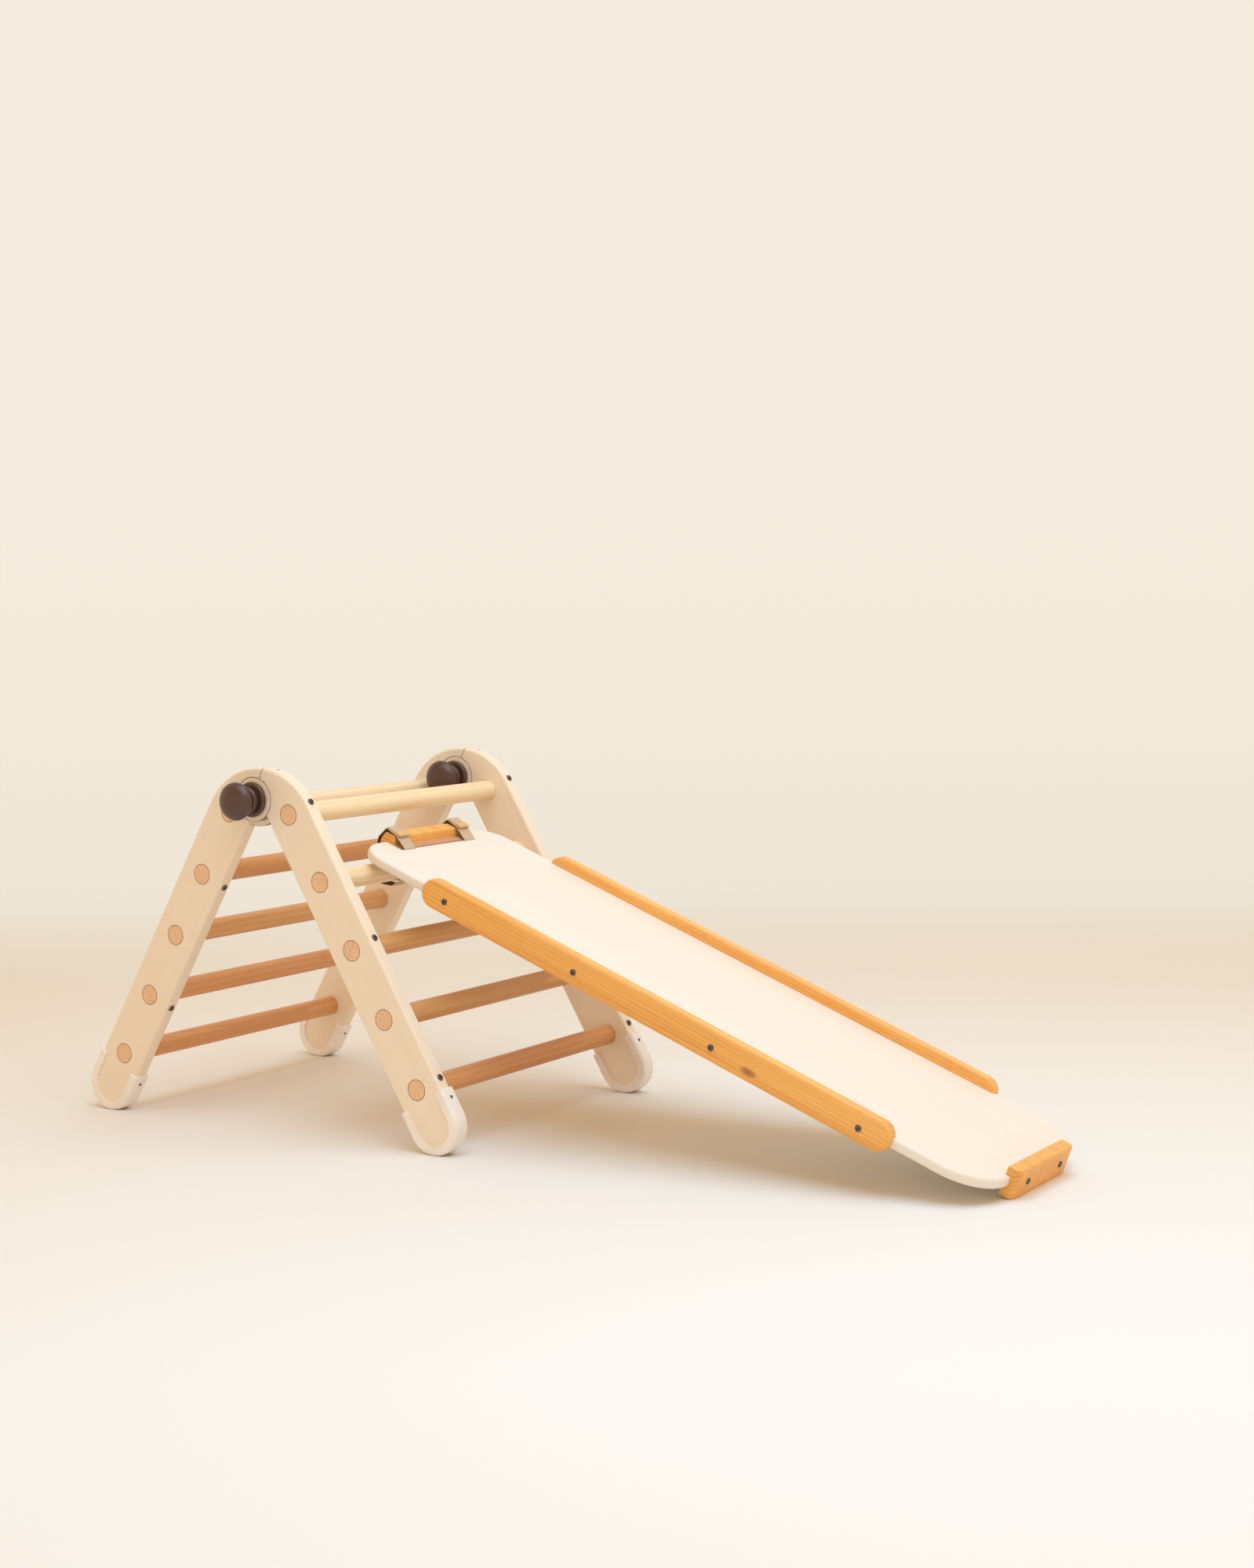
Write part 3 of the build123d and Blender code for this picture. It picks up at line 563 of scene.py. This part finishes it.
# ---- side rails, end stop and hook block ----
# Straight-grained hardwood, rounded over and rubbed with honey-coloured oil, which darkens the
# grain lines. The near rail has one knot that the grain flows round.
def oiled_wood(name, pith, spacing, seed, knot=None):
    shader = Shader(name)
    shader.set(Roughness=0.48, Specular_IOR_Level=0.38, Coat_Weight=0.14, Coat_Roughness=0.3)
    # After this turn x runs down the board and z square to it.
    frame_of_board = shader.spread((1, 1, 1), (0, 0, 0), -SLOPE)
    if knot:
        parts_of = shader.split(frame_of_board)
        along = shader.math("SUBTRACT", parts_of[0], knot[0])
        up = shader.math("SUBTRACT", parts_of[2], knot[1])
        near = shader.math("ADD", shader.math("MULTIPLY", along, shader.math("MULTIPLY", along, 0.16)),
                           shader.math("MULTIPLY", up, up))
        swell = shader.math("DIVIDE", 0.000042, shader.math("ADD", near, 0.00004))
        push = shader.math("MULTIPLY", swell, -0.0035)
        pushed = shader.math("MULTIPLY_ADD", shader.math("SIGN", up), push, parts_of[2])
        joined = shader.tree.nodes.new("ShaderNodeCombineXYZ")
        for socket, value in zip(joined.inputs, (parts_of[0], parts_of[1], pushed)):
            shader.join(value, socket)
        frame_of_board = joined.outputs[0]

    def stretched(scale):
        node = shader.tree.nodes.new("ShaderNodeMapping")
        node.inputs["Location"].default_value = [-p * s for p, s in zip(pith, scale)]
        node.inputs["Scale"].default_value = scale
        shader.join(frame_of_board, node.inputs["Vector"])
        return node.outputs["Vector"]

    rings = shader.tree.nodes.new("ShaderNodeTexWave")
    rings.wave_type = "RINGS"
    rings.rings_direction = "X"
    rings.wave_profile = "SAW"
    # A ring texture of scale one draws a line every 0.314 m.
    for key, value in (("Scale", 0.314 / spacing), ("Distortion", 3.0),
                       ("Detail", 2.0), ("Detail Scale", 0.5)):
        rings.inputs[key].default_value = value
    shader.join(stretched((0.05, 1, 1)), rings.inputs["Vector"])
    fibres = shader.noise(stretched((7, 620, 620)), 1.0, 3, 0.6)
    drift = shader.noise(stretched((2.0, 34, 34)), 1.0, 2 + seed % 2)
    figure = shader.math("MULTIPLY_ADD", rings.outputs["Fac"], 0.16, shader.math("MULTIPLY", fibres, 0.54))
    figure = shader.math("MULTIPLY_ADD", drift, 0.50, figure)
    wood = shader.ramp(figure, [(0.40, (0.98, 0.56, 0.17)), (0.62, (0.91, 0.43, 0.095)),
                                (0.88, (0.66, 0.26, 0.045))])
    pores = shader.ramp(shader.noise(stretched((34, 1700, 1700)), 1.0, 1),
                        [(0.64, (0, 0, 0)), (0.73, (1, 1, 1))])
    wood = shader.mix(shader.math("MULTIPLY", pores, 0.38), wood, (0.36, 0.13, 0.03))
    if knot:
        core = shader.ramp(shader.math("MULTIPLY", near, 22000),
                           [(0.0, (1, 1, 1)), (0.5, (0.55, 0.55, 0.55)), (1.0, (0, 0, 0))])
        wood = shader.mix(shader.math("MULTIPLY", core, 0.7), wood, (0.20, 0.06, 0.02))
    shader.join(wood, shader.surface.inputs["Base Color"])
    shader.bump(shader.math("ADD", fibres, shader.math("MULTIPLY", pores, -0.7)), 0.18, 0.0004)
    return shader.material


def board_frame(point):
    """A point in the turned coordinates that the oiled wood is drawn in."""
    return point.dot(down_board), point.y, point.dot(off_board)


start = board_frame(hook_axis)
KNOT_DOWN_BOARD = 0.722
KNOT_HEIGHT = 0.026
knot_place = (start[0] + KNOT_DOWN_BOARD, start[2] + KNOT_HEIGHT)
near_pith = (start[0], -0.19, start[2] - 0.055)
finish_node("side_rail_near", oiled_wood("oiled_rail_near", near_pith, 0.0066, 2, knot_place))
finish_node("side_rail_far", oiled_wood("oiled_rail_far", (start[0], 0.16, start[2] - 0.07), 0.0070, 3))
finish_node("end_stop", oiled_wood("oiled_stop", (start[0] + 1.1, 0.02, start[2] - 0.06), 0.0045, 4))
finish_node("hook_block", oiled_wood("oiled_hook", (start[0], 0.02, start[2] - 0.06), 0.0045, 5))


# ---- felt pad ----
# Thick terracotta felt glued into the hook: one strip lines the hollow that bears on the rung,
# and another covers the seat in front of the ridge. Its cut edges are a little uneven.
PAD_THICK = 0.0025
HOLLOW_RADIUS = 0.0164
HOOK_HALF_WIDTH = 0.0925
SEAT = BOARD_TOP - 0.002
LINING_DROP = 0.0225
LINING_TURN = math.radians(104)
CUSHION_THICK = 0.0016
CUSHION_START = -0.0075
CUSHION_LENGTH = 0.0118


def felt():
    shader = Shader("terracotta_felt")
    shader.set(Roughness=0.95, Specular_IOR_Level=0.15, Sheen_Weight=0.5, Sheen_Roughness=0.5)
    shader.surface.inputs["Sheen Tint"].default_value = (1.0, 0.72, 0.58, 1)
    fleck = shader.noise(shader.spread((1100, 1100, 1100)), 1.0, 3, 0.65)
    tone = shader.ramp(fleck, [(0.35, (0.50, 0.20, 0.11)), (0.55, (0.70, 0.35, 0.21)),
                               (0.72, (0.86, 0.55, 0.38))])
    shader.join(tone, shader.surface.inputs["Base Color"])
    shader.bump(fleck, 0.7, 0.0010)
    return shader.material


def felt_strip(middle_line, thick, half_width, steps_across, seed):
    """A closed strip of felt that follows a line on the board's section, in rows across its width."""
    shape = bmesh.new()
    rows = []
    count = len(middle_line)
    for index, (along, height) in enumerate(middle_line):
        before = Vector(middle_line[max(index - 1, 0)])
        after = Vector(middle_line[min(index + 1, count - 1)])
        tangent = (after - before).normalized()
        normal = Vector((-tangent.y, tangent.x))
        row = []
        for face in (1, -1):
            for step in range(steps_across + 1):
                share = 2 * step / steps_across - 1
                y = share * half_width * (1 + 0.004 * math.sin(seed + index * 0.9))
                swell = noise.noise(Vector((along * 90, y * 60, seed + face * 4))) * 0.00012
                offset = normal * face * (thick / 2 - 0.0002 + swell)
                row.append(shape.verts.new(on_board(along + offset.x, height + offset.y, y)))
        rows.append(row)
    wide = steps_across + 1
    loop_of = list(range(wide)) + list(range(2 * wide - 1, wide - 1, -1))
    for here, after in zip(rows, rows[1:]):
        for index in range(len(loop_of)):
            a, b = loop_of[index], loop_of[(index + 1) % len(loop_of)]
            shape.faces.new((here[a], here[b], after[b], after[a]))
    for row in (rows[0], rows[-1]):
        for step in range(steps_across):
            shape.faces.new((row[step], row[step + 1], row[wide + step + 1], row[wide + step]))
    bmesh.ops.recalc_face_normals(shape, faces=shape.faces)
    return shape


def felt_pad():
    middle = HOLLOW_RADIUS + PAD_THICK / 2
    lining = [(-middle, -LINING_DROP + LINING_DROP * step / 8) for step in range(8)]
    for step in range(25):
        angle = math.pi - LINING_TURN * step / 24
        lining.append((middle * math.cos(angle), middle * math.sin(angle)))
    mesh = bpy.data.meshes.new("hook_felt_pad")
    shape = felt_strip(lining, PAD_THICK, HOOK_HALF_WIDTH, 48, 1.3)
    cushion_middle = SEAT + 0.0009
    cushion = []
    for step in range(9):
        ripple = 0.0001 * math.sin(step * 0.7)
        cushion.append((CUSHION_START + CUSHION_LENGTH * step / 8, cushion_middle - ripple))
    top = felt_strip(cushion, CUSHION_THICK, HOOK_HALF_WIDTH - 0.001, 60, 5.1)
    scratch = bpy.data.meshes.new("felt_top")
    top.to_mesh(scratch)
    shape.from_mesh(scratch)
    shape.to_mesh(mesh)
    shape.free()
    top.free()
    bpy.data.meshes.remove(scratch)
    return linked("hook_felt_pad", mesh)


pad = felt_pad()
pad.data.materials.append(felt())
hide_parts("hook_pad")
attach(pad, "slide_board")


# ---- straps ----
# Two bands of greige webbing. Each comes up through a slot in the board, leans over the ridge,
# peaks, drops behind the hook and returns under the rung. The looped side faces out and the
# hooked side in; the free end lies pressed down over the peak, with a stitched honey-coloured tab.
STRAP_HALF_WIDTH = 0.0135
STRAP_THICK = 0.0016
STRAP_Y = 0.0785


def rounded_route(corners, radius, step=0.0012):
    """Points every step or so along straight runs joined by bends of one radius."""
    points = [Vector(corners[0])]
    for before, corner, after in zip(corners, corners[1:], corners[2:]):
        corner = Vector(corner)
        into = (corner - Vector(before)).normalized()
        away = (Vector(after) - corner).normalized()
        turn_angle = into.angle(away)
        room = 0.45 * min((corner - Vector(before)).length, (Vector(after) - corner).length)
        cut = min(radius * math.tan(turn_angle / 2), room)
        for bend in range(9):
            share = bend / 8
            a = corner - into * cut * (1 - share)
            b = corner + away * cut * share
            points.append(a.lerp(b, share))
    points.append(Vector(corners[-1]))
    spaced = [points[0]]
    for point in points[1:]:
        gap = (point - spaced[-1]).length
        pieces = max(1, round(gap / step))
        origin = spaced[-1].copy()
        for piece in range(1, pieces + 1):
            spaced.append(origin.lerp(point, piece / pieces))
    return spaced


def webbing(name, colour, dark, hooked):
    """A plain weave: ribs across the band, warp threads along it, and a looped nap on top."""
    shader = Shader(name)
    shader.set(Roughness=0.9, Specular_IOR_Level=0.15, Sheen_Weight=0.35, Sheen_Roughness=0.45)
    shader.surface.inputs["Sheen Tint"].default_value = (1.0, 0.86, 0.70, 1)
    layout = shader.tree.nodes.new("ShaderNodeUVMap")
    layout.uv_map = "band"
    place = shader.split(layout.outputs[0])
    weft = shader.math("SINE", shader.math("MULTIPLY", place[0], 2 * math.pi / 0.0011))
    warp = shader.math("SINE", shader.math("MULTIPLY", place[1], 2 * math.pi / 0.0009))
    weave = shader.math("MULTIPLY", weft, warp)
    nap = shader.noise(shader.spread((1500, 1500, 1500)), 1.0, 3, 0.7)
    height = shader.math("MULTIPLY_ADD", weave, 0.30, shader.math("MULTIPLY", nap, 1.4 if hooked else 0.9))
    tone = shader.ramp(height, [(0.10, dark), (0.75, colour)])
    shader.join(tone, shader.surface.inputs["Base Color"])
    shader.bump(height, 0.55, 0.0007)
    return shader.material


GREIGE = (0.82, 0.61, 0.40)
greige_band = webbing("greige_webbing", GREIGE, (0.52, 0.36, 0.23), False)
# The inner, hooked side is a near-black brown: painted shade on the faces that turn in towards the hook and
# the rung.
shaded_hook_side = webbing("hook_side_webbing", (0.11, 0.075, 0.05), (0.04, 0.025, 0.016), True)
honey_tab = webbing("honey_tab_webbing", (0.95, 0.62, 0.27), (0.72, 0.42, 0.16), False)


def band(name, route, y, half_width, thick, inner, outer, frayed=0.0, seed=0.0):
    """A flat band along a route on the board's section: outer side first, then the inner side."""
    across = 8
    shape = bmesh.new()
    layer = shape.loops.layers.uv.new("band")
    rows = []
    length = 0.0
    for index, point in enumerate(route):
        before, after = route[max(index - 1, 0)], route[min(index + 1, len(route) - 1)]
        tangent = (after - before).normalized()
        # The route runs up and back over the hook, so its right-hand side faces out.
        normal = Vector((tangent.y, -tangent.x))
        if index:
            length += (point - route[index - 1]).length
        row = []
        for face in (1, -1):
            for step in range(across + 1):
                share = 2 * step / across - 1
                edge = 1 - 0.35 * max(0.0, abs(share) - 0.85) / 0.15
                fuzz = frayed * noise.noise(Vector((length * 700, share * 3, seed)))
                offset = normal * face * thick / 2 * edge
                place = on_board(point.x + offset.x, point.y + offset.y, y + share * (half_width + fuzz))
                row.append((shape.verts.new(place), length, share * half_width))
        rows.append(row)
    wide = across + 1
    loop_of = list(range(wide)) + list(range(2 * wide - 1, wide - 1, -1))
    for here, after in zip(rows, rows[1:]):
        for index in range(len(loop_of)):
            a, b = loop_of[index], loop_of[(index + 1) % len(loop_of)]
            corners = (here[a], here[b], after[b], after[a])
            face = shape.faces.new([corner[0] for corner in corners])
            face.material_index = 1 if a >= wide and b >= wide else 0
            for loop, corner in zip(face.loops, corners):
                loop[layer].uv = (corner[1], corner[2])
    for row in (rows[0], rows[-1]):
        for step in range(across):
            corners = (row[step], row[step + 1], row[wide + step + 1], row[wide + step])
            face = shape.faces.new([corner[0] for corner in corners])
            for loop, corner in zip(face.loops, corners):
                loop[layer].uv = (corner[1], corner[2])
    bmesh.ops.recalc_face_normals(shape, faces=shape.faces)
    mesh = bpy.data.meshes.new(name)
    shape.to_mesh(mesh)
    shape.free()
    mesh.materials.append(outer)
    mesh.materials.append(inner)
    for polygon in mesh.polygons:
        polygon.use_smooth = True
    return linked(name, mesh)


RIDGE = BOARD_TOP + 0.012
strap_corners = [
    (0.0096, BOARD_TOP - 0.015), (0.0096, BOARD_TOP + 0.001), (-0.0128, RIDGE + 0.0022),
    (-0.0345, RIDGE + 0.0062), (-0.0445, RIDGE - 0.013), (-0.0400, -0.021), (-0.0325, -0.0288),
    (-0.012, -0.0288), (0.006, -0.0240), (0.029, 0.0060), (0.0325, 0.0222), (0.060, 0.0222),
]


def stitch_rows(name, route, y, half_width, lift, inset, pitch, material):
    """Two rows of sewn thread along a band, one stitch every pitch, set on a thread line each."""
    mesh = bpy.data.meshes.new(name + "_lines")
    points, edges = [], []
    for side in (-1, 1):
        start_index = len(points)
        for index, point in enumerate(route):
            before, after = route[max(index - 1, 0)], route[min(index + 1, len(route) - 1)]
            tangent = (after - before).normalized()
            normal = Vector((tangent.y, -tangent.x)) * lift
            points.append(on_board(point.x + normal.x, point.y + normal.y, y + side * (half_width - inset)))
        edges += [(i, i + 1) for i in range(start_index, len(points) - 1)]
    mesh.from_pydata(points, edges, [])
    piece = linked(name, mesh)

    tree = bpy.data.node_groups.new(name + "_sewing", "GeometryNodeTree")
    tree.interface.new_socket("Geometry", in_out="INPUT", socket_type="NodeSocketGeometry")
    sizes = {}
    for label, value in (("Pitch", pitch), ("Stitch length", pitch * 0.62), ("Thread radius", 0.00022)):
        socket = tree.interface.new_socket(label, in_out="INPUT", socket_type="NodeSocketFloat")
        socket.default_value = value
        sizes[socket.identifier] = value
    tree.interface.new_socket("Geometry", in_out="OUTPUT", socket_type="NodeSocketGeometry")

    def node(kind, **settings):
        made = tree.nodes.new(kind)
        for key, value in settings.items():
            setattr(made, key, value)
        return made

    source, result = node("NodeGroupInput"), node("NodeGroupOutput")
    to_curve = node("GeometryNodeMeshToCurve")
    spaced = node("GeometryNodeResampleCurve", mode="LENGTH")
    to_points = node("GeometryNodeCurveToPoints", mode="EVALUATED")
    thread = node("GeometryNodeMeshUVSphere")
    thread.inputs["Segments"].default_value = 8
    thread.inputs["Rings"].default_value = 6
    thread.inputs["Radius"].default_value = 1.0
    size = node("ShaderNodeCombineXYZ")
    half_length = node("ShaderNodeMath", operation="MULTIPLY")
    half_length.inputs[1].default_value = 0.5
    shaped = node("GeometryNodeTransform")
    placed = node("GeometryNodeInstanceOnPoints")
    real = node("GeometryNodeRealizeInstances")
    painted = node("GeometryNodeSetMaterial")
    painted.inputs["Material"].default_value = material
    for out_socket, in_socket in (
        (source.outputs["Geometry"], to_curve.inputs["Mesh"]),
        (to_curve.outputs["Curve"], spaced.inputs["Curve"]),
        (source.outputs["Pitch"], spaced.inputs["Length"]),
        (spaced.outputs["Curve"], to_points.inputs["Curve"]),
        (source.outputs["Stitch length"], half_length.inputs[0]),
        (source.outputs["Thread radius"], size.inputs[0]),
        (source.outputs["Thread radius"], size.inputs[1]),
        (half_length.outputs[0], size.inputs[2]),
        (thread.outputs["Mesh"], shaped.inputs["Geometry"]),
        (size.outputs[0], shaped.inputs["Scale"]),
        (to_points.outputs["Points"], placed.inputs["Points"]),
        (shaped.outputs["Geometry"], placed.inputs["Instance"]),
        (to_points.outputs["Rotation"], placed.inputs["Rotation"]),
        (placed.outputs["Instances"], real.inputs["Geometry"]),
        (real.outputs["Geometry"], painted.inputs["Geometry"]),
        (painted.outputs["Geometry"], result.inputs[0]),
    ):
        tree.links.new(out_socket, in_socket)
    modifier = piece.modifiers.new("sewing", "NODES")
    modifier.node_group = tree
    for identifier, value in sizes.items():
        modifier[identifier] = value
    depsgraph = bpy.context.evaluated_depsgraph_get()
    sewn = bpy.data.meshes.new_from_object(piece.evaluated_get(depsgraph))
    piece.modifiers.clear()
    piece.data = sewn
    if not sewn.materials:
        sewn.materials.append(material)
    for polygon in sewn.polygons:
        polygon.use_smooth = True
    return piece


def thread_finish():
    shader = Shader("sewing_thread")
    shader.set(Roughness=0.7, Specular_IOR_Level=0.3)
    ply = shader.noise(shader.spread((2600, 2600, 2600)), 1.0, 2)
    shader.join(shader.ramp(ply, [(0.3, (0.62, 0.48, 0.34)), (0.7, (0.84, 0.70, 0.54))]),
                shader.surface.inputs["Base Color"])
    return shader.material


thread = thread_finish()
front_run = (Vector((-0.0128, RIDGE + 0.0022)), Vector((-0.0345, RIDGE + 0.0062)))
for place, y in (("near", -STRAP_Y), ("far", STRAP_Y)):
    seed = 2.0 if place == "near" else 7.0
    route = rounded_route(strap_corners, 0.0030)
    strap = band(f"webbing_strap_{place}", route, y, STRAP_HALF_WIDTH, STRAP_THICK,
                 shaded_hook_side, greige_band, 0.0003, seed)
    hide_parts(f"strap_{place}")
    # The free end: doubled webbing over the peak, then the honey tab with its two rows of stitches.
    lift = Vector((front_run[1] - front_run[0]).normalized())
    out = Vector((lift.y, -lift.x)) * STRAP_THICK * 1.05
    start_end = front_run[0] + out - lift * 0.006
    over = [tuple(start_end), tuple(front_run[0] + out), tuple(front_run[1] + out - lift * 0.001)]
    flap_points = rounded_route(over, 0.002)
    flap = band(f"webbing_flap_{place}", flap_points, y, STRAP_HALF_WIDTH - 0.0007,
                STRAP_THICK, shaded_hook_side, greige_band, 0.0006, seed + 1)
    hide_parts(f"strap_patch_{place}")
    tab_out = out * 1.9
    tab_route = [tuple(front_run[0] + tab_out + lift * reach) for reach in (-0.0055, -0.001, 0.0045)]
    tab_points = rounded_route(tab_route, 0.002)
    tab = band(f"honey_tab_{place}", tab_points, y, STRAP_HALF_WIDTH - 0.0010, 0.0012,
               honey_tab, honey_tab, 0.0004, seed + 2)
    sewing = stitch_rows(f"tab_stitches_{place}", tab_points, y, STRAP_HALF_WIDTH,
                         0.00068, 0.0028, 0.0022, thread)
    rows = stitch_rows(f"flap_stitches_{place}", flap_points, y, STRAP_HALF_WIDTH,
                       0.00085, 0.0022, 0.0030, thread)
    for piece in (strap, flap, tab, sewing, rows):
        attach(piece, "slide_board")


# ---- the object's bounds ----
low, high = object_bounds()
